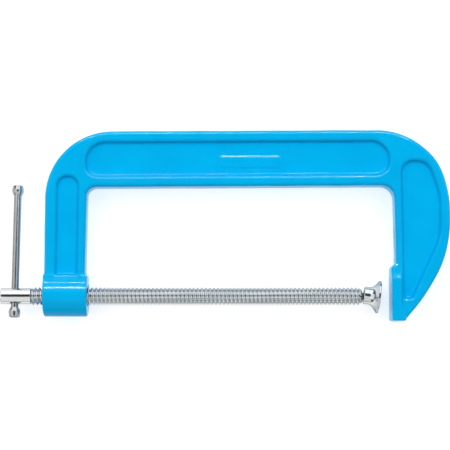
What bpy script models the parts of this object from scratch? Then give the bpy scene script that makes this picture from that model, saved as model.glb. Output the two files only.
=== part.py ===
"""C clamp lying flat: the screw runs along X, the spine is on the +Y side, Z is the casting's thickness.

The origin is the middle of the fixed jaw's flat face, on the screw's axis. Driving sizes are in
millimetres and are turned into metres where the shapes are made.
"""

import math

import bmesh
import bpy
from mathutils import Matrix, Vector

MM = 0.001

# casting outline: corner points of the outside edge, each with its fillet radius
BOSS_X = (-247.0, -216.8)
BOSS_R = 14.6
OUTLINE = [
    ((-246.9, 4.0), 0.0),
    ((-246.4, 117.9), 48.5),
    ((9.2, 119.1), 53.0),
    ((35.2, 97.4), 43.0),
    ((42.8, 72.2), 90.0),
    ((42.8, 30.6), 86.0),
    ((23.4, -1.2), 130.0),
    ((9.6, -17.8), 2.4),
    ((0.0, -17.8), 2.2),
    ((0.0, 20.2), 2.4),
    ((3.4, 23.4), 1.5),
    ((2.3, 78.6), 9.0),
    ((-216.6, 77.4), 6.2),
    ((-217.9, 4.0), 0.0),
]
RIM_HALF = 10.0
RIM_EDGE = 1.8
WEB_HALF = 4.2

# recesses between the rims, the same on both faces
SPINE_POCKET = [
    ((-218.2, 110.3), 14.5),
    ((-0.2, 111.4), 10.5),
    ((-0.2, 86.2), 9.0),
    ((-218.2, 85.0), 9.0),
]
LEFT_POCKET = [
    ((-239.3, 14.6), 2.2),
    ((-238.7, 86.0), 7.9),
    ((-222.4, 86.0), 7.9),
    ((-223.2, 14.6), 2.2),
]
RIGHT_POCKET = [
    ((7.3, 97.2), 9.0),
    ((27.6, 97.2), 12.0),
    ((36.3, 71.0), 50.0),
    ((35.4, 41.5), 40.0),
    ((14.4, -1.4), 2.4),
    ((8.6, -1.4), 2.2),
]
POCKET_FILLET = 1.8
PLATE_CENTRE = (-100.2, 95.9)
PLATE_SIZE = (43.0, 8.4)
PLATE_RISE = 0.5

# raised jaw block and the flat shoulder that runs from the boss down to the arm
JAW_HALF = 12.0
JAW_DEPTH = (6.6, 9.4)
JAW_SLOPE_Y = (13.0, 20.4)
SHOULDER_Y = 15.0
SHOULDER_Z = 9.4

# screw: single-start right-hand thread
PITCH = 2.9
THREAD_R = 6.4
ROOT_R = 5.1
THREAD_X = (-257.3, -20.3)
TIP_CONE_R = 4.2
NUT_PLAY = 0.45
HUB_X = (-278.7, -256.9)
HUB_R = 5.7
HUB_CHAMFER = 0.9

# sliding bar, drooping so that its long end rests on the surface the boss lies on
BAR_X = -268.5
BAR_R = 2.65
BAR_HOLE_R = 2.95
BAR_DROOP = math.radians(7.5)
BAR_LONG = 81.0
BAR_SHORT = 15.0
CAP_R = 4.15
CAP_LENGTH = 6.8
CAP_WALL = 1.2
PLAY = 0.3

# ball joint and pad
BALL_X = -13.2
BALL_R = 3.6
SOCKET_R = 3.9
NECK_R = 2.2
PAD_TILT = math.radians(-7.4)
PAD_PROFILE = [
    (5.6, 0.0),
    (5.6, 11.1),
    (5.2, 11.5),
    (4.1, 11.5),
    (3.7, 11.1),
    (3.4, 10.0),
    (2.7, 8.9),
    (1.6, 7.8),
    (0.1, 6.9),
    (-1.6, 6.35),
    (-3.2, 6.25),
    (-5.6, 6.25),
    (-5.9, 5.95),
    (-5.9, 3.95),
    (-2.5, 3.0),
]

parts = None
cutters = None


def clear_scene():
    for obj in list(bpy.data.objects):
        bpy.data.objects.remove(obj, do_unlink=True)


def make_collections():
    global parts, cutters
    parts = bpy.data.collections.new("c_clamp")
    cutters = bpy.data.collections.new("cutters")
    for group in (parts, cutters):
        bpy.context.scene.collection.children.link(group)


def paint(name, colour, metallic, roughness):
    material = bpy.data.materials.new(name)
    material.use_nodes = True
    shader = material.node_tree.nodes["Principled BSDF"]
    shader.inputs["Base Color"].default_value = (*colour, 1.0)
    shader.inputs["Metallic"].default_value = metallic
    shader.inputs["Roughness"].default_value = roughness
    return material


def rounded(corners, degrees_per_step=11.0):
    """Closed outline through the corner points, each rounded by its own fillet radius."""
    count = len(corners)
    outline = []
    for i, (corner, radius) in enumerate(corners):
        here = Vector(corner)
        back = (Vector(corners[i - 1][0]) - here).normalized()
        ahead = (Vector(corners[(i + 1) % count][0]) - here).normalized()
        if radius == 0.0:
            outline.append(here)
            continue
        opening = back.angle(ahead)
        setback = radius / math.tan(opening / 2)
        centre = here + (back + ahead).normalized() * (radius / math.sin(opening / 2))
        start = here + back * setback - centre
        end = here + ahead * setback - centre
        turn = start.angle_signed(end)
        steps = max(1, round(math.degrees(abs(turn)) / degrees_per_step))
        for k in range(steps + 1):
            angle = -turn * k / steps
            outline.append(centre + Matrix.Rotation(angle, 2) @ start)
    return outline


def prism(name, outline, half, plane="XY"):
    """Solid made by filling a closed 2D curve and extruding it both ways."""
    curve = bpy.data.curves.new(name, "CURVE")
    curve.dimensions = "2D"
    curve.fill_mode = "BOTH"
    curve.extrude = half * MM
    spline = curve.splines.new("POLY")
    spline.points.add(len(outline) - 1)
    for point, xy in zip(spline.points, outline):
        point.co = (xy[0] * MM, xy[1] * MM, 0.0, 1.0)
    spline.use_cyclic_u = True
    holder = bpy.data.objects.new(name + "_curve", curve)
    bpy.context.scene.collection.objects.link(holder)
    bpy.context.view_layer.update()
    mesh = bpy.data.meshes.new_from_object(holder)
    bpy.data.objects.remove(holder, do_unlink=True)
    merge_caps(mesh)
    if plane == "YZ":
        mesh.transform(Matrix(((0, 0, 1, 0), (1, 0, 0, 0), (0, 1, 0, 0), (0, 0, 0, 1))))
    return finish(name, mesh)


def merge_caps(mesh):
    """Make each flat end of a filled curve one face, so that its edges bevel cleanly."""
    bm = bmesh.new()
    bm.from_mesh(mesh)
    bmesh.ops.remove_doubles(bm, verts=bm.verts, dist=1e-6)
    inside = [e for e in bm.edges if all(abs(f.normal.z) > 0.99 for f in e.link_faces)]
    bmesh.ops.dissolve_edges(bm, edges=inside, use_verts=False)
    bm.to_mesh(mesh)
    bm.free()


def finish(name, mesh):
    """Weld and orient a mesh, then wrap it in an object."""
    bm = bmesh.new()
    bm.from_mesh(mesh)
    bmesh.ops.remove_doubles(bm, verts=bm.verts, dist=1e-6)
    bmesh.ops.recalc_face_normals(bm, faces=bm.faces)
    bm.to_mesh(mesh)
    bm.free()
    return bpy.data.objects.new(name, mesh)


def as_cutter(obj):
    cutters.objects.link(obj)
    obj.hide_render = True
    obj.display_type = "WIRE"
    return obj


def as_part(obj, material):
    parts.objects.link(obj)
    obj.data.materials.clear()
    obj.data.materials.append(material)
    return obj


def boolean(obj, other, operation):
    modifier = obj.modifiers.new(f"{operation.lower()}_{other.name}", "BOOLEAN")
    modifier.operation = operation
    modifier.solver = "EXACT"
    modifier.object = other
    return modifier


def bevel(obj, width, segments, angle=50.0):
    modifier = obj.modifiers.new("edges", "BEVEL")
    modifier.width = width * MM
    modifier.segments = segments
    modifier.limit_method = "ANGLE"
    modifier.angle_limit = math.radians(angle)
    modifier.use_clamp_overlap = False


def lathe(name, profile, steps, closed=False):
    """Body of revolution about X from (x, radius) points."""
    mesh = bpy.data.meshes.new(name)
    edges = [(i, i + 1) for i in range(len(profile) - 1)]
    if closed:
        edges.append((len(profile) - 1, 0))
    mesh.from_pydata([(x * MM, r * MM, 0.0) for x, r in profile], edges, [])
    return spin(name, mesh, steps, 1, 0.0)


def spin(name, mesh, steps, turns, advance):
    """Sweep a profile about X with the Screw modifier and keep the result as a plain mesh."""
    holder = bpy.data.objects.new(name + "_profile", mesh)
    bpy.context.scene.collection.objects.link(holder)
    screw = holder.modifiers.new("sweep", "SCREW")
    screw.axis = "X"
    screw.steps = steps
    screw.render_steps = steps
    screw.iterations = turns
    screw.screw_offset = advance * MM
    screw.use_merge_vertices = True
    screw.merge_threshold = 0.000001
    depsgraph = bpy.context.evaluated_depsgraph_get()
    swept = bpy.data.meshes.new_from_object(holder.evaluated_get(depsgraph))
    bpy.data.objects.remove(holder, do_unlink=True)
    return finish(name, swept)


def threaded_rod(name, root_r, crest_r, first_turn, turns, steps):
    """Solid rod with a right-hand V thread, its helix in phase with the screw at rest."""
    mesh = bpy.data.meshes.new(name)
    start = first_turn * PITCH
    profile = [(start, root_r), (start + PITCH / 2, crest_r), (start + PITCH, root_r)]
    mesh.from_pydata([(x * MM, r * MM, 0.0) for x, r in profile], [(0, 1), (1, 2)], [])
    rod = spin(name, mesh, steps, turns, PITCH)
    close_ends(rod.data)
    return rod


def close_ends(mesh):
    """Close both ragged ends of a swept thread with a fan onto the axis."""
    bm = bmesh.new()
    bm.from_mesh(mesh)
    rim = [edge for edge in bm.edges if edge.is_boundary]
    middle = sum(v.co.x for edge in rim for v in edge.verts) / (2 * len(rim))
    for side in (-1, 1):
        edges = [e for e in rim if (e.verts[0].co.x + e.verts[1].co.x - 2 * middle) * side > 0]
        x = sum(v.co.x for e in edges for v in e.verts) / (2 * len(edges))
        hub = bm.verts.new((x, 0.0, 0.0))
        for edge in edges:
            bm.faces.new((edge.verts[0], edge.verts[1], hub))
    bmesh.ops.recalc_face_normals(bm, faces=bm.faces)
    bm.to_mesh(mesh)
    bm.free()


def bar_direction():
    return Vector((0.0, math.cos(BAR_DROOP), -math.sin(BAR_DROOP)))


def along_bar(obj):
    """Turn a body made about X onto the bar's axis, X pointing to the long end."""
    turn = Vector((1.0, 0.0, 0.0)).rotation_difference(bar_direction()).to_matrix().to_4x4()
    obj.data.transform(Matrix.Translation((BAR_X * MM, 0.0, 0.0)) @ turn)
    return obj


def boss_section():
    """Round boss with flat tangent shoulders running to the arm on the spine side."""
    corner = Vector((SHOULDER_Y, SHOULDER_Z))
    reach = corner.length
    tangent = math.atan2(corner.y, corner.x) + math.acos(BOSS_R / reach)
    steps = 26
    outline = [(SHOULDER_Y, SHOULDER_Z)]
    for k in range(steps + 1):
        angle = tangent + (2 * math.pi - 2 * tangent) * k / steps
        outline.append((BOSS_R * math.cos(angle), BOSS_R * math.sin(angle)))
    outline.append((SHOULDER_Y, -SHOULDER_Z))
    return outline


def make_boss():
    boss = prism("boss", boss_section(), (BOSS_X[1] - BOSS_X[0]) / 2, "YZ")
    boss.data.transform(Matrix.Translation(((BOSS_X[0] + BOSS_X[1]) / 2 * MM, 0.0, 0.0)))
    bevel(boss, 1.4, 2)
    return as_cutter(boss)


def make_jaw_block():
    """Block behind the fixed jaw's face, sloping down to the arm and to the tip."""
    bm = bmesh.new()
    low, high = JAW_SLOPE_Y
    near, far = JAW_DEPTH
    bottom = -17.8
    ring = [(0.0, bottom), (far, bottom), (far, high), (0.0, high)]
    top = [(0.0, bottom + 0.8), (near, bottom + 0.8), (near - 0.2, low), (0.0, low)]
    levels = [(top, -JAW_HALF), (ring, -RIM_HALF + 0.4), (ring, RIM_HALF - 0.4), (top, JAW_HALF)]
    rows = [[bm.verts.new((x * MM, y * MM, z * MM)) for x, y in pts] for pts, z in levels]
    for a, b in zip(rows, rows[1:]):
        for i in range(4):
            bm.faces.new((a[i], a[(i + 1) % 4], b[(i + 1) % 4], b[i]))
    bm.faces.new(rows[0][::-1])
    bm.faces.new(rows[-1])
    mesh = bpy.data.meshes.new("jaw_block")
    bm.to_mesh(mesh)
    bm.free()
    return as_cutter(finish("jaw_block", mesh))


def make_pockets():
    """One recess cutter for each pocket on each face."""
    made = []
    for name, corners in (("spine", SPINE_POCKET), ("left", LEFT_POCKET), ("right", RIGHT_POCKET)):
        for side in (1, -1):
            cutter = prism(f"{name}_pocket_{side}", rounded(corners, 15.0), 6.0)
            lift = side * (WEB_HALF + 6.0) * MM
            cutter.data.transform(Matrix.Translation((0.0, 0.0, lift)))
            bevel(cutter, POCKET_FILLET, 2)
            made.append(as_cutter(cutter))
    return made


def make_plate():
    """Plain raised panel on the spine's web."""
    x, y = PLATE_CENTRE
    a, b = PLATE_SIZE[0] / 2, PLATE_SIZE[1] / 2
    corners = [((x + i * a, y + j * b), 1.2) for i, j in ((-1, -1), (-1, 1), (1, 1), (1, -1))]
    plate = prism("plate", rounded(corners, 30.0), WEB_HALF + PLATE_RISE)
    return as_cutter(plate)


def make_frame(enamel):
    frame = as_part(prism("frame", rounded(OUTLINE), RIM_HALF), enamel)
    bevel(frame, RIM_EDGE, 2)
    boss = make_boss()
    block = make_jaw_block()
    first = math.floor((BOSS_X[0] - 5.0) / PITCH)
    turns = math.ceil((BOSS_X[1] - BOSS_X[0] + 10.0) / PITCH) + 1
    nut = threaded_rod("nut_thread", ROOT_R + NUT_PLAY, THREAD_R + NUT_PLAY, first, turns, 16)
    for pocket in make_pockets():
        boolean(frame, pocket, "DIFFERENCE")
    boolean(frame, make_plate(), "UNION")
    boolean(frame, block, "UNION")
    boolean(frame, boss, "UNION")
    boolean(frame, as_cutter(nut), "DIFFERENCE")
    return frame


def make_spindle(steel):
    """Screw with its smooth end, cross hole, run-out and turned tip."""
    first = math.floor(THREAD_X[0] / PITCH) - 1
    turns = math.ceil((THREAD_X[1] - THREAD_X[0]) / PITCH) + 3
    rod = threaded_rod("spindle", ROOT_R, THREAD_R, first, turns, 12)
    as_part(rod, steel)
    clear = THREAD_R + 0.4
    blank = lathe(
        "screw_blank",
        [
            (THREAD_X[0], 0.0),
            (THREAD_X[0], HUB_R - 0.1),
            (THREAD_X[0] + 1.4, clear),
            (THREAD_X[1] - 2.2, clear),
            (THREAD_X[1], TIP_CONE_R),
            (THREAD_X[1], 0.0),
        ],
        24,
    )
    hub = lathe(
        "hub",
        [
            (HUB_X[0], 0.0),
            (HUB_X[0], HUB_R - HUB_CHAMFER),
            (HUB_X[0] + HUB_CHAMFER, HUB_R),
            (HUB_X[1], HUB_R),
            (HUB_X[1], 0.0),
        ],
        32,
    )
    hole = along_bar(lathe("bar_hole", [(-9, 0), (-9, BAR_HOLE_R), (9, BAR_HOLE_R), (9, 0)], 20))
    boolean(rod, as_cutter(blank), "INTERSECT")
    boolean(rod, as_cutter(hub), "UNION")
    boolean(rod, as_cutter(hole), "DIFFERENCE")
    return rod


def arc(radius, start, end, steps):
    """Points of a circle about the origin, angles in degrees from +X towards the radius."""
    points = []
    for k in range(steps + 1):
        angle = math.radians(start + (end - start) * k / steps)
        points.append((radius * math.cos(angle), radius * math.sin(angle)))
    return points


def make_neck(steel):
    """Thin neck that carries the ball; its end is hollowed to clear the ball."""
    start = THREAD_X[1] + PLAY - BALL_X
    edge = 180.0 - math.degrees(math.asin(NECK_R / SOCKET_R))
    cup = arc(SOCKET_R, edge, 180.0, 4)
    cup[-1] = (-SOCKET_R, 0.0)
    neck = lathe("spindle_neck", [(start, 0.0), (start, NECK_R)] + cup, 20)
    neck.data.transform(Matrix.Translation((BALL_X * MM, 0.0, 0.0)))
    return as_part(neck, steel)


def make_ball(steel):
    points = arc(BALL_R, 180.0, 0.0, 10)
    points[0] = (-BALL_R, 0.0)
    points[-1] = (BALL_R, 0.0)
    ball = lathe("swivel_ball", points, 20)
    ball.location = (BALL_X * MM, 0.0, 0.0)
    return as_part(ball, steel)


def make_pad(steel):
    """Turned pad: collar, flared skirt, flat face and the socket for the ball."""
    mouth = 180.0 - math.degrees(math.asin(3.0 / SOCKET_R))
    socket = arc(SOCKET_R, mouth, 0.0, 9)
    socket[-1] = (SOCKET_R, 0.0)
    pad = lathe("swivel_pad", PAD_PROFILE[:-1] + socket, 36)
    pad.data.transform(Matrix.Rotation(PAD_TILT, 4, "Z"))
    pad.location = (BALL_X * MM, 0.0, 0.0)
    return as_part(pad, steel)


def make_bar(steel):
    """Plain bar whose ends stop just short of the caps' closed ends."""
    low = -BAR_SHORT + CAP_WALL + PLAY
    high = BAR_LONG - CAP_WALL - PLAY
    bar = lathe("handle_bar", [(low, 0.0), (low, BAR_R), (high, BAR_R), (high, 0.0)], 24)
    return as_part(along_bar(bar), steel)


def make_cap(name, outer, direction, steel):
    """Barrel-shaped end cap, a cup over the bar's end. outer is its closed end along the bar."""
    bore = BAR_R + PLAY
    shape = [
        (0.0, 0.0),
        (0.0, CAP_R - 0.7),
        (0.5, CAP_R - 0.25),
        (3.2, CAP_R),
        (4.4, CAP_R - 0.15),
        (CAP_LENGTH - 0.5, bore + 0.65),
        (CAP_LENGTH, bore + 0.35),
        (CAP_LENGTH, bore),
        (CAP_WALL, bore),
        (CAP_WALL, 0.0),
    ]
    profile = [(outer - direction * x, r) for x, r in shape]
    return as_part(along_bar(lathe(name, profile, 24)), steel)


def main():
    clear_scene()
    make_collections()
    enamel = paint("blue_enamel", (0.0, 0.42, 0.84), 0.0, 0.2)
    zinc = paint("zinc_plated_steel", (0.72, 0.75, 0.76), 1.0, 0.25)
    screw_zinc = zinc.copy()
    screw_zinc.name = "zinc_plated_screw"
    pad_zinc = zinc.copy()
    pad_zinc.name = "zinc_plated_pad"
    bar_zinc = zinc.copy()
    bar_zinc.name = "zinc_plated_bar"
    make_frame(enamel)
    make_spindle(screw_zinc)
    make_neck(screw_zinc)
    make_ball(screw_zinc)
    make_pad(pad_zinc)
    make_bar(bar_zinc)
    make_cap("handle_cap_upper", BAR_LONG, 1, zinc)
    make_cap("handle_cap_lower", -BAR_SHORT, -1, zinc)


main()
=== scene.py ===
"""Looks of a blue-enamelled C clamp with a zinc-plated screw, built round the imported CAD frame.

Shapes are worked out in millimetres in the frame's own axes and are turned into metres when a mesh
is made. The casting is a voxel skin of its CAD node, moved onto a smooth field that holds the cast
fillets, drafts and rounded rims. The metal pieces are turned profiles.
"""

import math
from collections import namedtuple

import bmesh
import bpy
import numpy as np
from mathutils import Matrix, Vector


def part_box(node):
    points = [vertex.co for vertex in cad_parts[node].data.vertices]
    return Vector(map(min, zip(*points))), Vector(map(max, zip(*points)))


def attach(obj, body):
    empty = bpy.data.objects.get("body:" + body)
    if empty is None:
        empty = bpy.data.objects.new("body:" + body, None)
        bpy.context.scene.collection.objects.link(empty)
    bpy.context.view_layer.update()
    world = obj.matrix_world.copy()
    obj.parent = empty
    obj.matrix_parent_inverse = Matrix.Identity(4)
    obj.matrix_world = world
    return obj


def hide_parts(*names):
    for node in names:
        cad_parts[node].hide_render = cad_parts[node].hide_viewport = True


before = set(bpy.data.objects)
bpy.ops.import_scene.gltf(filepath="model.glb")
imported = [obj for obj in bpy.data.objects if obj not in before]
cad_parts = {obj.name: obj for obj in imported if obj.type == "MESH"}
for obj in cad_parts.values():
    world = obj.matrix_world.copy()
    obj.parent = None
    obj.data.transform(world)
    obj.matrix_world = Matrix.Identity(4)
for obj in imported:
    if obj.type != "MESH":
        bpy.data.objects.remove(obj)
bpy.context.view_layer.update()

MM = 0.001

# plan of the casting: corner points of each outline, with fillet radii
OUTLINE = [
    ((-247.1, 2.0), 0.5),
    ((-246.9, 117.9), 48.5),
    ((9.2, 119.1), 53.0),
    ((35.2, 97.4), 43.0),
    ((42.8, 72.2), 90.0),
    ((42.8, 30.6), 86.0),
    ((23.4, -1.2), 130.0),
    ((9.6, -17.8), 2.0),
    ((0.0, -17.8), 1.2),
    ((0.0, 20.2), 2.4),
    ((3.4, 23.4), 1.5),
    ((2.3, 78.6), 9.0),
    ((-216.6, 77.4), 6.2),
    ((-217.9, 2.0), 0.5),
]
SPINE_POCKET = [
    ((-218.2, 110.3), 14.5),
    ((-0.2, 111.4), 13.5),
    ((-0.2, 86.2), 10.5),
    ((-218.2, 85.0), 9.0),
]
LEFT_POCKET = [
    ((-239.3, 8.0), 2.2),
    ((-238.7, 86.0), 7.9),
    ((-222.4, 86.0), 7.9),
    ((-223.2, 8.0), 2.2),
]
RIGHT_POCKET = [
    ((7.3, 97.2), 9.0),
    ((27.6, 97.2), 12.0),
    ((36.3, 71.0), 50.0),
    ((35.4, 41.5), 40.0),
    ((15.0, -2.2), 3.0),
    ((8.6, -2.2), 2.6),
]
PANEL = [
    ((-121.7, 91.7), 1.6),
    ((-121.7, 100.1), 1.6),
    ((-78.7, 100.1), 1.6),
    ((-78.7, 91.7), 1.6),
]

# heights of the casting from its middle plane, drafts (sideways per unit of height) and fillets
RIM_HALF = 10.0
RIM_EDGE = 2.9
SIDE_DRAFT = 0.012
PARTING_RIDGE = 0.15
PARTING_WIDTH = 0.9
WEB_HALF = 6.2
WALL_DRAFT = 0.3
POCKET_EDGE = 1.9
POCKET_FILLET = 1.2
PANEL_RISE = 0.5
PANEL_SLOPE = 0.7

# boss round the screw, and the shoulder that slopes from it to the left arm
BOSS_X = (-247.5, -216.3)
BOSS_MIDDLE = sum(BOSS_X) / 2
BOSS_HALF = (BOSS_X[1] - BOSS_X[0]) / 2
BOSS_R = 14.6
BOSS_EDGE = 1.1
BOSS_BLEND = 1.6
BORE_R = 6.8
BORE_CHAMFER = 1.0
BORE_PAST_BOSS = 4.0
BORE_EDGE = 0.3
SHOULDER_START = 4.0
SHOULDER_END = 15.2
SHOULDER_Z = 9.7
SHOULDER_SLOPE = math.radians(17.0)
SHOULDER_EDGE = 1.2
SHOULDER_BLEND = 0.4

# fixed jaw block
JAW_HALF = 12.0
JAW_REACH = -4.0
JAW_BACK = 6.9
JAW_BACK_EDGE = 1.0
JAW_TIP_Y = -7.5
JAW_TIP_SPREAD = 0.34
JAW_TOP = (13.0, 20.4)
JAW_TOP_SINK = 0.4
JAW_TOP_EDGE = 0.5
JAW_STEP = 0.55
JAW_STEP_RUN = 1.5
JAW_INSET = 0.1
JAW_EDGE = 0.9
JAW_BLEND = 0.8

# skin of the casting; its unevenness fades out over the calm width towards the jaw's face
VOXEL = 0.9
CALM_WIDTH = 6.0
LONGEST_MOVE = 0.7
FLATTEST = 0.04

# screw
PITCH = 2.9
THREAD_R = 6.4
THREAD_END = -20.3
ROOT_R = 4.8
ENVELOPE_R = THREAD_R + 0.1
THREAD_ROUNDNESS = 0.965
RINGS_PER_TURN = 12
RUNOUT_SLOPE = 1.1
TIP_LENGTH = 2.4
TIP_R = 4.2
TIP_EDGE = 0.4
HUB_X = (-278.7, -256.9)
HUB_R = 5.7
HUB_EDGE = 0.9
HUB_INNER_EDGE = 0.35
HUB_GAP = 0.02  # between the hub's last ring and the thread's first

# sliding bar, its cross hole and its caps
BAR_X = -268.5
BAR_R = 2.65
BAR_EDGE = 0.4
BAR_HOLE_R = 2.95
BAR_HOLE_HALF = 5.2
BAR_HOLE_EDGE = 0.5
BAR_HOLE_FLARE = (3.8, 3.6)
BAR_DROOP = math.radians(7.5)
BAR_LONG = 81.0
BAR_SHORT = 15.0
CAP_R = 4.15
CAP_LENGTH = 6.8
CAP_WALL = 1.2
PLAY = 0.3

# ball joint and pad; x of the pad's parts is from the ball's centre
BALL_X = -13.2
BALL_R = 3.6
SOCKET_R = 3.9
NECK_R = 2.2
NECK_STEPS = 6
PAD_TILT = math.radians(-7.4)
PAD_R = 11.5
PAD_FACE = 5.6
PAD_RIM = 4.0
FLARE_X = 3.5
FLARE_LENGTH = 6.4
FLARE_R = 6.2
FLARE_SPREAD = 4.6
FLARE_POWER = 2.3
FLARE_STEPS = 12
COLLAR_END = -5.95
MOUTH_X = -2.49
MOUTH_R = 3.0
BALL_STEPS = 24
SOCKET_STEPS = 14

# sides of the turned pieces: screw, hole and caps; bar, neck and ball; pad
SCREW_SIDES = 48
ROD_SIDES = 40
PAD_SIDES = 72

# base colours
ENAMEL_DEEP = (0.0, 0.42, 0.815)
ENAMEL_BRIGHT = (0.0, 0.46, 0.865)
ENAMEL_SPECK = (0.0, 0.36, 0.73)
ENAMEL_IOR = 1.15
ZINC_COOL = (0.90, 0.955, 0.985)
ZINC_WARM = (1.0, 0.995, 0.965)
# dark zinc tone for the drawn streaks, also used for painted shade in the screw's thread roots and a
# painted dark reflection on its crests
ZINC_STREAK_AND_SHADE = (0.72, 0.76, 0.78)
ZINC_EDGE = (0.3, 0.34, 0.36)
PAPER = ((0.54, 0.54, 0.54), (0.56, 0.56, 0.56))
PAPER_GLOW = 0.66
WHITE = (1.0, 1.0, 1.0)

# studio, in metres
VIEW_CENTRE = Vector((-0.1182, 0.0511, 0.0))
VIEW_DISTANCE = 1.077
VIEW_TILT = math.radians(4.5)
VIEW_LENS = 120.0
FLOOR_SIZE = 4.0
FLOOR_GAP = 0.1 * MM
WORLD_COLOUR = (0.05, 0.05, 0.055)


# ---------------------------------------------------------------- plan outlines

Arc = namedtuple("Arc", "centre radius start end corner opening turn")


def corner_arcs(corners):
    """Fillet arc at each corner of a closed outline."""
    arcs = []
    for i, (corner, radius) in enumerate(corners):
        here = Vector(corner)
        back = (Vector(corners[i - 1][0]) - here).normalized()
        ahead = (Vector(corners[(i + 1) % len(corners)][0]) - here).normalized()
        opening = back.angle(ahead)
        setback = radius / math.tan(opening / 2)
        centre = here + (back + ahead).normalized() * (radius / math.sin(opening / 2))
        start = here + back * setback
        end = here + ahead * setback
        arcs.append(Arc(centre, radius, start, end, here, opening, -back.cross(ahead)))
    return arcs


class Plan:
    """Closed outline of straight runs and arcs, with its exact signed distance, negative inside."""

    def __init__(self, corners):
        arcs = corner_arcs(corners)
        points = [Vector(corner) for corner, _ in corners]
        area = sum(a.cross(b) for a, b in zip(points, points[1:] + points[:1]))
        self.hand = 1.0 if area > 0 else -1.0
        self.start = np.array([arc.end for arc in arcs])
        ends = np.array([arc.start for arc in arcs[1:] + arcs[:1]])
        run = ends - self.start
        self.length = np.hypot(run[:, 0], run[:, 1])
        self.along = run / np.maximum(self.length, 1e-9)[:, None]
        self.outward = self.hand * np.stack([self.along[:, 1], -self.along[:, 0]], 1)
        self.centre = np.array([arc.centre for arc in arcs])
        self.radius = np.array([arc.radius for arc in arcs])
        middle = np.array([arc.corner - arc.centre for arc in arcs])
        self.middle = middle / np.linalg.norm(middle, axis=1)[:, None]
        self.reach = np.array([math.cos((math.pi - arc.opening) / 2) for arc in arcs])
        self.convex = np.array([math.copysign(1.0, arc.turn * self.hand) for arc in arcs])

    def distance(self, x, y):
        """Signed distance and its slopes along X and Y at each point."""
        point = np.stack([x, y], 1)[:, None, :]

        # to every straight run
        offset = point - self.start
        forward = (offset * self.along).sum(2)
        off_run = (forward < 0) | (forward > self.length)
        side = (offset * self.outward).sum(2)

        # to every fillet
        spoke = point - self.centre
        rho = np.maximum(np.hypot(spoke[:, :, 0], spoke[:, :, 1]), 1e-9)
        off_arc = (spoke * self.middle).sum(2) < self.reach * rho
        round_side = self.convex * (rho - self.radius)

        # the nearest of those that the point stands opposite
        signed = np.concatenate([side, round_side], 1)
        far = np.abs(signed) + 1e6 * np.concatenate([off_run, off_arc], 1)
        nearest = far.argmin(1)
        row = np.arange(len(x))
        count = len(self.length)
        on_arc = nearest >= count
        arc = np.where(on_arc, nearest - count, 0)
        run = np.where(on_arc, 0, nearest)
        arc_slope = spoke[row, arc] / rho[row, arc, None] * self.convex[arc, None]
        slope = np.where(on_arc[:, None], arc_slope, self.outward[run])
        return signed[row, nearest], slope[:, 0], slope[:, 1]


# ---------------------------------------------------------------- casting

def meet(a, b, radius):
    """Intersection of two fields with a rounded outside edge."""
    corner = np.hypot(np.maximum(a + radius, 0), np.maximum(b + radius, 0))
    return np.minimum(-radius, np.maximum(a, b)) + corner


def join(a, b, radius):
    """Union of two fields with a rounded inside corner."""
    corner = np.hypot(np.maximum(radius - a, 0), np.maximum(radius - b, 0))
    return np.maximum(radius, np.minimum(a, b)) - corner


def smooth_step(value):
    t = np.clip(value, 0.0, 1.0)
    return t * t * (3 - 2 * t)


class Waviness:
    """Gentle unevenness that a sand casting keeps under its enamel."""

    def __init__(self, seed, count, shortest, longest, steepness):
        random = np.random.default_rng(seed)
        direction = random.normal(size=(count, 3))
        direction /= np.linalg.norm(direction, axis=1)[:, None]
        wavelength = random.uniform(shortest, longest, count)
        self.wave = direction * (2 * math.pi / wavelength)[:, None]
        self.height = steepness * wavelength
        self.phase = random.uniform(0, 2 * math.pi, count)

    def at(self, point):
        return (np.sin(point @ self.wave.T + self.phase) * self.height).sum(1)


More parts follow.
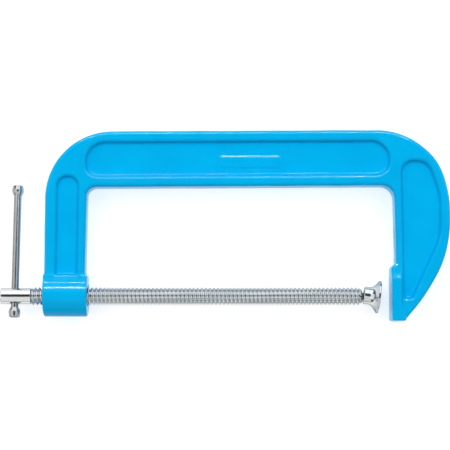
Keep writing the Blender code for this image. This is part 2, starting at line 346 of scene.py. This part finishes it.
class Casting:
    """Field of the whole casting in millimetres, negative inside."""

    def __init__(self):
        outlines = (OUTLINE, SPINE_POCKET, LEFT_POCKET, RIGHT_POCKET, PANEL)
        self.plans = [Plan(outline) for outline in outlines]
        self.waviness = Waviness(seed=5, count=16, shortest=9.0, longest=42.0, steepness=0.0005)

    def value(self, distances, point):
        """Field at each point, from its distances to the five outlines."""
        x, y, z = point.T
        height = np.abs(z)
        edge, spine, left, right, panel = distances
        parting = PARTING_RIDGE * (1 - np.exp(-((z / PARTING_WIDTH) ** 2)))
        side = edge + parting + SIDE_DRAFT * height
        body = meet(side, height - RIM_HALF, RIM_EDGE)
        web = WEB_HALF + PANEL_RISE * smooth_step(0.5 - panel / (2 * PANEL_SLOPE))
        for pocket in (spine, left, right):
            wall = pocket + WALL_DRAFT * (RIM_HALF - height)
            hollow = meet(wall, web - height, POCKET_FILLET)
            body = meet(body, -hollow, POCKET_EDGE)
        body = join(body, self.jaw(side, x, y, height), JAW_BLEND)
        body = join(body, self.boss(x, y, z), BOSS_BLEND)
        body = meet(body, -self.bore(x, y, z), BORE_EDGE)
        return body + self.waviness.at(point) * smooth_step(np.abs(x) / CALM_WIDTH)

    def jaw(self, side, x, y, height):
        """Raised block behind the jaw's face, chamfered to the tip and up the arm."""
        drop = JAW_HALF - RIM_HALF + JAW_TOP_SINK
        run = JAW_TOP[1] - JAW_TOP[0]
        top = ((y - JAW_TOP[0]) * drop + (height - JAW_HALF) * run) / math.hypot(drop, run)
        step_start, step_end = (smooth_step((limit - y) / JAW_STEP_RUN + 0.5) for limit in JAW_TOP)
        top = top - JAW_STEP * (step_start - step_end)
        tip_spread = JAW_TIP_SPREAD * np.maximum(JAW_TIP_Y - y, 0)
        back = x - JAW_BACK - tip_spread - WALL_DRAFT * (JAW_HALF - height)
        block = meet(height - JAW_HALF, top, JAW_TOP_EDGE)
        block = meet(block, back, JAW_BACK_EDGE)
        # without this the block would run on under the spine to the left arm
        block = np.maximum(block, JAW_REACH - x)
        return meet(block, side - JAW_INSET, JAW_EDGE)

    def boss(self, x, y, z):
        """Round boss with a sloping shoulder that runs down to the arm."""
        across = np.abs(x - BOSS_MIDDLE) - BOSS_HALF
        barrel = meet(np.hypot(y, z) - BOSS_R, across, BOSS_EDGE)
        fall = (y - SHOULDER_END) * math.sin(SHOULDER_SLOPE)
        slope = fall + (np.abs(z) - SHOULDER_Z) * math.cos(SHOULDER_SLOPE)
        shoulder = meet(meet(slope, across, BOSS_EDGE), y - SHOULDER_END, SHOULDER_EDGE)
        shoulder = np.maximum(shoulder, SHOULDER_START - y)
        return join(barrel, shoulder, SHOULDER_BLEND)

    def bore(self, x, y, z):
        """Plain bore for the screw, opened out at both ends of the boss."""
        across = np.abs(x - BOSS_MIDDLE) - BOSS_HALF
        hole = np.hypot(y, z) - BORE_R - np.maximum(across + BORE_CHAMFER, 0)
        return np.maximum(hole, across - BORE_PAST_BOSS)

    def level(self, point):
        """Field and its gradient at each point."""
        step = 0.02
        found = [plan.distance(point[:, 0], point[:, 1]) for plan in self.plans]
        here = self.value([distance for distance, _, _ in found], point)
        slopes = []
        for axis in range(3):
            moved = point.copy()
            moved[:, axis] += step
            if axis < 2:
                distances = [near[0] + near[1 + axis] * step for near in found]
            else:
                distances = [near[0] for near in found]
            slopes.append((self.value(distances, moved) - here) / step)
        return here, np.stack(slopes, 1)

    def settle(self, point, rounds):
        """Move points onto the surface, and return the surface's normals with them."""
        for _ in range(rounds):
            value, slope = self.level(point)
            size = np.maximum((slope ** 2).sum(1), FLATTEST)
            move = slope * (value / size)[:, None]
            length = np.maximum(np.linalg.norm(move, axis=1), 1e-9)
            point = point - move * np.minimum(1.0, LONGEST_MOVE / length)[:, None]
        slope = self.level(point)[1]
        return point, slope / np.linalg.norm(slope, axis=1)[:, None]


def relax(point, edges, share):
    """Move each point part of the way to the middle of its neighbours."""
    total = np.zeros_like(point)
    count = np.zeros(len(point))
    for a, b in ((0, 1), (1, 0)):
        np.add.at(total, edges[:, a], point[edges[:, b]])
        np.add.at(count, edges[:, a], 1)
    return point + share * (total / count[:, None] - point)


def voxel_skin(source, name):
    """Even quad skin of a closed mesh."""
    holder = bpy.data.objects.new(name, source.copy())
    show(holder)
    remesh = holder.modifiers.new("skin", "REMESH")
    remesh.mode = "VOXEL"
    remesh.voxel_size = VOXEL * MM
    remesh.use_smooth_shade = True
    depsgraph = bpy.context.evaluated_depsgraph_get()
    skin = bpy.data.meshes.new_from_object(holder.evaluated_get(depsgraph))
    bpy.data.objects.remove(holder, do_unlink=True)
    return skin


def read_array(items, attribute, width, kind):
    """One row of numbers for each vertex or edge."""
    flat = np.zeros(len(items) * width, kind)
    items.foreach_get(attribute, flat)
    return flat.reshape(-1, width)


def make_casting(material):
    skin = voxel_skin(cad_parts["frame"].data, "casting")
    casting = Casting()
    point = read_array(skin.vertices, "co", 3, float) / MM
    edges = read_array(skin.edges, "vertices", 2, int)
    point, normal = casting.settle(point, 5)
    for _ in range(4):
        point, normal = casting.settle(relax(point, edges, 0.5), 2)
    skin.vertices.foreach_set("co", (point * MM).ravel())
    skin.update()
    skin.shade_smooth()
    skin.normals_split_custom_set_from_vertices(normal)
    piece = bpy.data.objects.new("casting", skin)
    return dress(piece, material, "casting", "blue_enamel", "frame")


# ---------------------------------------------------------------- turned pieces

def rounded(corners):
    """Points of an open profile through corners (x, radius from the axis, fillet)."""
    step_degrees = 7.5
    points = []
    last = len(corners) - 1
    for i, (x, r, fillet) in enumerate(corners):
        here = Vector((x, r))
        if fillet == 0.0 or i in (0, last):
            points.append((x, r))
            continue
        back = (Vector(corners[i - 1][:2]) - here).normalized()
        ahead = (Vector(corners[i + 1][:2]) - here).normalized()
        opening = back.angle(ahead)
        setback = fillet / math.tan(opening / 2)
        centre = here + (back + ahead).normalized() * (fillet / math.sin(opening / 2))
        start = here + back * setback - centre
        end = here + ahead * setback - centre
        turn = start.angle_signed(end)
        steps = max(2, round(math.degrees(abs(turn)) / step_degrees))
        for k in range(steps + 1):
            points.append(tuple(centre + Matrix.Rotation(-turn * k / steps, 2) @ start))
    return points


def ball_points(radius, first, last, steps):
    """Points (x, radius from the axis) along a circle round the origin, between two angles from -X."""
    points = []
    for k in range(steps + 1):
        angle = first + (last - first) * k / steps
        points.append((-radius * math.cos(angle), max(0.0, radius * math.sin(angle))))
    return points


def revolve(name, profile, sides, shape=None):
    """Turned body about X. shape(x, r, angle) may change the radius round each ring."""
    mesh = bpy.data.meshes.new(name)
    bm = bmesh.new()
    rings = []
    for x, r in profile:
        if r < 1e-6:
            rings.append([bm.verts.new((x * MM, 0.0, 0.0))] * sides)
            continue
        ring = []
        for k in range(sides):
            angle = 2 * math.pi * k / sides
            radius = shape(x, r, angle) * MM if shape else r * MM
            spot = (x * MM, radius * math.cos(angle), radius * math.sin(angle))
            ring.append(bm.verts.new(spot))
        rings.append(ring)
    for a, b in zip(rings, rings[1:]):
        for k in range(sides):
            after = (k + 1) % sides
            bm.faces.new(dict.fromkeys((a[k], a[after], b[after], b[k])))
    bmesh.ops.recalc_face_normals(bm, faces=bm.faces)
    bm.to_mesh(mesh)
    bm.free()
    return bpy.data.objects.new(name, mesh)


def shade(piece):
    """Smooth shading with edges kept crisp above an angle."""
    crisp = math.radians(32.0)
    piece.data.shade_smooth()
    bm = bmesh.new()
    bm.from_mesh(piece.data)
    for edge in bm.edges:
        edge.smooth = edge.calc_face_angle(0.0) < crisp
    bm.to_mesh(piece.data)
    bm.free()
    return piece


def show(item):
    bpy.context.scene.collection.objects.link(item)


def dress(piece, material, body, slot, *nodes):
    """Put a piece in the scene, paint it and tie it to the CAD."""
    if piece.name not in bpy.context.scene.collection.objects:
        show(piece)
    piece.data.materials.clear()
    piece.data.materials.append(material)
    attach(piece, body)
    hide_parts(*nodes)
    return piece


def along_bar(piece):
    """Turn a body made about X onto the bar's axis."""
    direction = Vector((0.0, math.cos(BAR_DROOP), -math.sin(BAR_DROOP)))
    turn = Vector((1.0, 0.0, 0.0)).rotation_difference(direction).to_matrix().to_4x4()
    piece.data.transform(Matrix.Translation((BAR_X * MM, 0.0, 0.0)) @ turn)
    return piece


def cut(piece, cutter):
    """Subtract a cutter and keep the result as a plain mesh."""
    show(piece)
    show(cutter)
    modifier = piece.modifiers.new("cut", "BOOLEAN")
    modifier.operation = "DIFFERENCE"
    modifier.solver = "EXACT"
    modifier.object = cutter
    depsgraph = bpy.context.evaluated_depsgraph_get()
    result = bpy.data.meshes.new_from_object(piece.evaluated_get(depsgraph))
    piece.modifiers.clear()
    piece.data = result
    bpy.data.objects.remove(cutter, do_unlink=True)


def screw_shape(x, envelope, angle):
    """Rolled V thread in phase with the CAD helix, kept inside the envelope. The hub stays plain."""
    if x < HUB_X[1] - HUB_GAP / 2:
        return envelope
    crest = math.cos(2 * math.pi * (x / PITCH - 0.5) - angle)
    share = math.asin(THREAD_ROUNDNESS * crest) / math.asin(THREAD_ROUNDNESS)
    return min(ROOT_R + (THREAD_R - ROOT_R) * (1 + share) / 2, envelope)


def make_screw(material):
    hub = rounded([
        (HUB_X[0], 0.0, 0.0),
        (HUB_X[0], HUB_R, HUB_EDGE),
        (HUB_X[1] - HUB_GAP, HUB_R, HUB_INNER_EDGE),
        (HUB_X[1] - HUB_GAP, ROOT_R - 0.1, 0.0),
    ])
    start = HUB_X[1]
    cone_start = THREAD_END - TIP_LENGTH
    rings = RINGS_PER_TURN * round((cone_start - start) / PITCH)
    rod = []
    for k in range(rings + 1):
        forward = (cone_start - start) * k / rings
        rod.append((start + forward, min(ENVELOPE_R, ROOT_R + forward * RUNOUT_SLOPE)))
    # rings down the end cone, as far as the rounded tip
    cone = []
    for k in range(1, 10):
        share = k / 12
        cone.append((cone_start + TIP_LENGTH * share, ENVELOPE_R - (ENVELOPE_R - TIP_R) * share))
    tip = rounded([
        (cone_start, ENVELOPE_R, 0.0),
        (THREAD_END, TIP_R, TIP_EDGE),
        (THREAD_END, 0.0, 0.0),
    ])
    screw = revolve("screw", hub + rod + cone + tip[1:], SCREW_SIDES, screw_shape)
    cut(screw, bar_hole())
    return dress(shade(screw), material, "screw", "zinc_plated_screw", "spindle")


def bar_hole():
    """Cutter for the cross hole in the hub, flared at both mouths."""
    length, spread = BAR_HOLE_FLARE
    end = BAR_HOLE_HALF + length
    return along_bar(revolve("bar_hole", rounded([
        (-end, 0.0, 0.0),
        (-end, BAR_HOLE_R + spread, 0.0),
        (-BAR_HOLE_HALF, BAR_HOLE_R, BAR_HOLE_EDGE),
        (BAR_HOLE_HALF, BAR_HOLE_R, BAR_HOLE_EDGE),
        (end, BAR_HOLE_R + spread, 0.0),
        (end, 0.0, 0.0),
    ]), SCREW_SIDES))


def make_neck(material):
    """Plain neck that ends in a cup round the ball."""
    start = THREAD_END + PLAY
    foot = [(start, 0.0), (start, NECK_R + 0.5), (start + 0.5, NECK_R + 0.1), (start + 0.9, NECK_R)]
    cup = ball_points(SOCKET_R, math.asin(NECK_R / SOCKET_R), 0.0, NECK_STEPS)
    profile = foot + [(BALL_X + x, r) for x, r in cup]
    neck = revolve("screw_neck", profile, ROD_SIDES)
    return dress(shade(neck), material, "screw_end", "zinc_plated_screw", "spindle_neck")


def make_ball(material):
    profile = [(BALL_X + x, r) for x, r in ball_points(BALL_R, 0.0, math.pi, BALL_STEPS)]
    ball = revolve("ball_end", profile, ROD_SIDES)
    return dress(shade(ball), material, "ball", "zinc_plated_screw", "swivel_ball")


def make_pad(material):
    """Flared pad with a rounded rim, a waisted collar and a crimped mouth round the ball."""
    flare = []
    for k in range(FLARE_STEPS + 1):
        share = 1 - k / FLARE_STEPS
        radius = FLARE_R + FLARE_SPREAD * share ** FLARE_POWER
        flare.append((FLARE_X - FLARE_LENGTH * (1 - share), radius, 0.0))
    outside = rounded([
        (PAD_FACE, 0.0, 0.0),
        (PAD_FACE, PAD_R, 0.4),
        (PAD_RIM, PAD_R, 0.4),
        *flare,
        (COLLAR_END, FLARE_R + 0.1, 0.7),
        (COLLAR_END, MOUTH_R + 1.0, 0.5),
        (MOUTH_X - 0.11, MOUTH_R + 0.05, 0.2),
        (MOUTH_X, MOUTH_R, 0.0),
    ])
    socket = ball_points(SOCKET_R, math.asin(MOUTH_R / SOCKET_R), math.pi, SOCKET_STEPS)
    pad = revolve("pad", outside + socket[1:], PAD_SIDES)
    place = Matrix.Translation((BALL_X * MM, 0.0, 0.0))
    pad.data.transform(place @ Matrix.Rotation(PAD_TILT, 4, "Z"))
    return dress(shade(pad), material, "pad", "zinc_plated_pad", "swivel_pad")


def make_bar(material):
    low = -BAR_SHORT + CAP_WALL + PLAY
    high = BAR_LONG - CAP_WALL - PLAY
    profile = rounded([
        (low, 0.0, 0.0),
        (low, BAR_R, BAR_EDGE),
        (high, BAR_R, BAR_EDGE),
        (high, 0.0, 0.0),
    ])
    bar = along_bar(revolve("bar", profile, ROD_SIDES))
    return dress(shade(bar), material, "handle", "zinc_plated_bar", "handle_bar")


def make_cap(name, node, outer, direction, material):
    """Barrel-shaped cap pressed on the bar's end; outer is its closed end."""
    bore = BAR_R + PLAY / 2
    shape = rounded([
        (0.0, 0.0, 0.0),
        (0.0, CAP_R - 0.4, 0.6),
        (3.4, CAP_R, 1.6),
        (4.9, CAP_R - 0.15, 1.0),
        (CAP_LENGTH - 0.3, bore + 0.35, 0.4),
        (CAP_LENGTH, bore + 0.25, 0.1),
        (CAP_LENGTH, bore, 0.1),
        (CAP_WALL, bore, 0.0),
        (CAP_WALL, 0.0, 0.0),
    ])
    cap = revolve(name, [(outer - direction * x, r) for x, r in shape], SCREW_SIDES)
    return dress(shade(along_bar(cap)), material, "handle", "zinc_plated_steel", node)


# ---------------------------------------------------------------- materials

def rgba(colour, brightness=1.0):
    return tuple(brightness * part for part in colour) + (1.0,)


class Paint:
    """A Principled material and short calls for the nodes that feed it."""

    def __init__(self, name, **constants):
        self.material = bpy.data.materials.new(name)
        self.material.use_nodes = True
        self.nodes = self.material.node_tree.nodes
        self.links = self.material.node_tree.links
        self.shader = self.nodes["Principled BSDF"]
        self.place = self.nodes.new("ShaderNodeTexCoord").outputs["Object"]
        for socket, value in constants.items():
            self.shader.inputs[socket.replace("_", " ")].default_value = value

    def stretched(self, scale):
        """Object coordinates stretched along each axis."""
        mapping = self.nodes.new("ShaderNodeMapping")
        mapping.inputs["Scale"].default_value = scale
        self.links.new(self.place, mapping.inputs["Vector"])
        return mapping.outputs["Vector"]

    def noise(self, size, detail=3.0, roughness=0.5, vector=None):
        """Noise whose features are about this many millimetres across."""
        node = self.nodes.new("ShaderNodeTexNoise")
        node.inputs["Scale"].default_value = 1.0 / (size * MM)
        node.inputs["Detail"].default_value = detail
        node.inputs["Roughness"].default_value = roughness
        self.links.new(vector or self.place, node.inputs["Vector"])
        return node.outputs["Fac"]

    def radius(self):
        """Distance from the screw's axis in millimetres."""
        node = self.nodes.new("ShaderNodeVectorMath")
        node.operation = "LENGTH"
        self.links.new(self.stretched((0.0, 1.0 / MM, 1.0 / MM)), node.inputs[0])
        return node.outputs["Value"]

    def spread(self, value, low, high, to_low=0.0, to_high=1.0):
        """Map low..high to to_low..to_high, held at both ends."""
        node = self.nodes.new("ShaderNodeMapRange")
        limits = {"From Min": low, "From Max": high, "To Min": to_low, "To Max": to_high}
        for socket, number in limits.items():
            node.inputs[socket].default_value = number
        self.links.new(value, node.inputs["Value"])
        return node.outputs["Result"]

    def blend(self, factor, first, second):
        """Colour that goes from first to second as the factor goes from 0 to 1."""
        node = self.nodes.new("ShaderNodeMix")
        node.data_type = "RGBA"
        self.feed(factor, node.inputs["Factor"])
        self.feed(first, node.inputs["A"])
        self.feed(second, node.inputs["B"])
        return node.outputs["Result"]

    def feed(self, value, socket):
        """Link an output to a socket, or set the socket to a constant."""
        if isinstance(value, bpy.types.NodeSocket):
            self.links.new(value, socket)
        else:
            socket.default_value = value

    def bump(self, height, distance, strength, under=None):
        """Normal bumped by a height of up to distance millimetres, on top of another bump."""
        node = self.nodes.new("ShaderNodeBump")
        node.inputs["Distance"].default_value = distance * MM
        node.inputs["Strength"].default_value = strength
        self.links.new(height, node.inputs["Height"])
        if under:
            self.links.new(under, node.inputs["Normal"])
        return node.outputs["Normal"]

    def set(self, socket, value):
        self.feed(value, self.shader.inputs[socket])


def enamel():
    """Glossy blue enamel over cast iron: clouded colour, orange peel and a few dust specks."""
    paint = Paint("blue_enamel", IOR=ENAMEL_IOR)
    cloud = paint.spread(paint.noise(22.0, detail=4.0, roughness=0.6), 0.3, 0.7)
    colour = paint.blend(cloud, rgba(ENAMEL_DEEP), rgba(ENAMEL_BRIGHT))
    speck = paint.spread(paint.noise(1.6, detail=2.0, roughness=0.4), 0.76, 0.8, 0.0, 0.35)
    paint.set("Base Color", paint.blend(speck, colour, rgba(ENAMEL_SPECK)))
    paint.set("Roughness", paint.spread(paint.noise(9.0), 0.3, 0.7, 0.07, 0.11))
    peel = paint.bump(paint.noise(2.6, detail=2.0, roughness=0.45), distance=0.02, strength=0.5)
    swell = paint.noise(11.0, detail=2.0)
    paint.set("Normal", paint.bump(swell, distance=0.12, strength=0.5, under=peel))
    return paint.material


def zinc(name, brightness, streaks, cloud_size, roughness, bands=()):
    """Bright zinc plating: faint blue-grey clouds, drawn or turned streaks and fine pitting.

    streaks stretches the streaks along each axis, and roughness is its range from streak to streak.
    bands are the radii about the screw's axis at which the base colour is darkest, lightest and
    darkest again.
    """
    paint = Paint(name, Metallic=1.0, Specular_Tint=rgba(ZINC_EDGE))
    streak_and_shade = rgba(ZINC_STREAK_AND_SHADE, brightness)
    lines = paint.noise(1.0, roughness=0.6, vector=paint.stretched(streaks))
    cloud = paint.spread(paint.noise(cloud_size, detail=4.0, roughness=0.6), 0.3, 0.7)
    colour = paint.blend(cloud, rgba(ZINC_COOL, brightness), rgba(ZINC_WARM, brightness))
    colour = paint.blend(paint.spread(lines, 0.52, 0.72, 0.0, 0.7), colour, streak_and_shade)
    # base colour darkens towards the inner and outer band radii: on the screw this is painted shade in
    # the thread roots and a painted dark reflection on the crests
    if bands:
        inner, bright, outer = bands
        for darkest_radius in (inner, outer):
            colour = paint.blend(paint.spread(paint.radius(), bright, darkest_radius), colour, streak_and_shade)
    paint.set("Base Color", colour)
    paint.set("Roughness", paint.spread(lines, 0.3, 0.7, *roughness))
    pits = paint.bump(paint.noise(0.9, detail=2.0), distance=0.008, strength=0.3)
    paint.set("Normal", paint.bump(lines, distance=0.01, strength=0.4, under=pits))
    return paint.material


def screw_zinc():
    return zinc(
        "zinc_screw",
        brightness=0.78,
        streaks=(2.0, 0.35, 0.35),
        cloud_size=6.0,
        roughness=(0.05, 0.14),
        # painted shade darkens the thread roots, and a painted dark reflection darkens the crests
        bands=(ROOT_R, 5.7, THREAD_R),
    )


def pad_zinc():
    return zinc(
        "zinc_pad",
        brightness=0.68,
        streaks=(3.0, 0.3, 0.3),
        cloud_size=7.0,
        roughness=(0.07, 0.2),
        # base colour darker towards the axis and towards the rim
        bands=(2.0, 7.0, 12.5),
    )


def bar_zinc():
    return zinc(
        "zinc_bar",
        brightness=0.42,
        streaks=(1.2, 0.12, 1.2),
        cloud_size=8.0,
        roughness=(0.14, 0.28),
    )


def cap_zinc():
    return zinc(
        "zinc_caps",
        brightness=0.5,
        streaks=(1.0, 1.6, 1.0),
        cloud_size=9.0,
        roughness=(0.1, 0.22),
    )


def floor_paint():
    """Pale paper with a barely visible grain and a faint glow."""
    paint = Paint(
        "pale_paper",
        Roughness=0.85,
        Specular_IOR_Level=0.0,
        Emission_Color=rgba(WHITE),
        Emission_Strength=PAPER_GLOW,
    )
    grain = paint.spread(paint.noise(1.2, roughness=0.6), 0.3, 0.7)
    paint.set("Base Color", paint.blend(grain, rgba(PAPER[0]), rgba(PAPER[1])))
    return paint.material


# ---------------------------------------------------------------- studio

def make_floor():
    lowest = min(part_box("frame")[0].z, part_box("handle_cap_upper")[0].z)
    mesh = bpy.data.meshes.new("floor")
    bm = bmesh.new()
    bmesh.ops.create_grid(bm, x_segments=12, y_segments=12, size=FLOOR_SIZE)
    bm.to_mesh(mesh)
    bm.free()
    floor = bpy.data.objects.new("floor", mesh)
    floor.location.z = lowest - FLOOR_GAP
    show(floor)
    mesh.materials.append(floor_paint())


def softbox(name, bearing, elevation, distance, width, height, radiance, fills=True, glints=True):
    """Rectangular light aimed at the object. bearing is 0 towards +Y and 90 towards +X, in degrees.

    fills says whether it lights matt surfaces, glints whether it shows in glossy ones.
    """
    light = bpy.data.lights.new(name, "AREA")
    light.shape = "RECTANGLE"
    light.size = width
    light.size_y = height
    light.energy = radiance * width * height * math.pi
    lamp = bpy.data.objects.new(name, light)
    turn = math.radians(bearing)
    rise = math.radians(elevation)
    level = math.cos(rise)
    away = Vector((math.sin(turn) * level, math.cos(turn) * level, math.sin(rise)))
    lamp.location = VIEW_CENTRE + away * distance
    lamp.rotation_euler = away.to_track_quat("Z", "Y").to_euler()
    lamp.visible_camera = False
    lamp.visible_diffuse = fills
    lamp.visible_glossy = glints
    show(lamp)
    return lamp


def make_lights(casting):
    """Soft boxes round the object, and a bright strip that only glints on the casting's enamel.

    The numbers are bearing, elevation, distance, width and height.
    """
    softbox("top_fill", 0.0, 80.0, 1.5, 2.5, 2.5, radiance=0.88, glints=False)
    softbox("far_fill", 0.0, 40.0, 1.5, 2.6, 1.75, radiance=0.9, glints=False)
    softbox("far_box", 0.0, 34.0, 1.5, 2.6, 1.75, radiance=1.5, fills=False)
    softbox("near_box", 180.0, 42.0, 1.5, 2.6, 2.2, radiance=0.9, fills=False)
    softbox("left_box", -90.0, 40.0, 1.6, 1.6, 1.85, radiance=1.0)
    softbox("right_box", 90.0, 40.0, 1.6, 1.6, 1.85, radiance=0.9)
    strip = softbox("strip", 0.0, 43.0, 1.3, 1.3, 0.18, radiance=110.0, fills=False)
    enamelled = bpy.data.collections.new("enamelled")
    enamelled.objects.link(casting)
    strip.light_linking.receiver_collection = enamelled


def make_world():
    world = bpy.data.worlds.new("studio")
    world.use_nodes = True
    world.node_tree.nodes["Background"].inputs["Color"].default_value = rgba(WORLD_COLOUR)
    bpy.context.scene.world = world
    bpy.context.scene.view_settings.view_transform = "Standard"


def make_camera():
    data = bpy.data.cameras.new("camera")
    data.sensor_width = 36.0
    data.lens = VIEW_LENS
    camera = bpy.data.objects.new("camera", data)
    back = Vector((0.0, -math.sin(VIEW_TILT), math.cos(VIEW_TILT)))
    camera.location = VIEW_CENTRE + back * VIEW_DISTANCE
    camera.rotation_mode = "QUATERNION"
    camera.rotation_quaternion = back.to_track_quat("Z", "Y")
    show(camera)
    bpy.context.scene.camera = camera


def main():
    make_camera()
    make_world()
    make_floor()
    make_lights(make_casting(enamel()))
    plating = screw_zinc()
    make_screw(plating)
    make_neck(plating)
    make_ball(plating)
    make_pad(pad_zinc())
    make_bar(bar_zinc())
    plating = cap_zinc()
    make_cap("upper_cap", "handle_cap_upper", BAR_LONG, 1, plating)
    make_cap("lower_cap", "handle_cap_lower", -BAR_SHORT, -1, plating)


main()
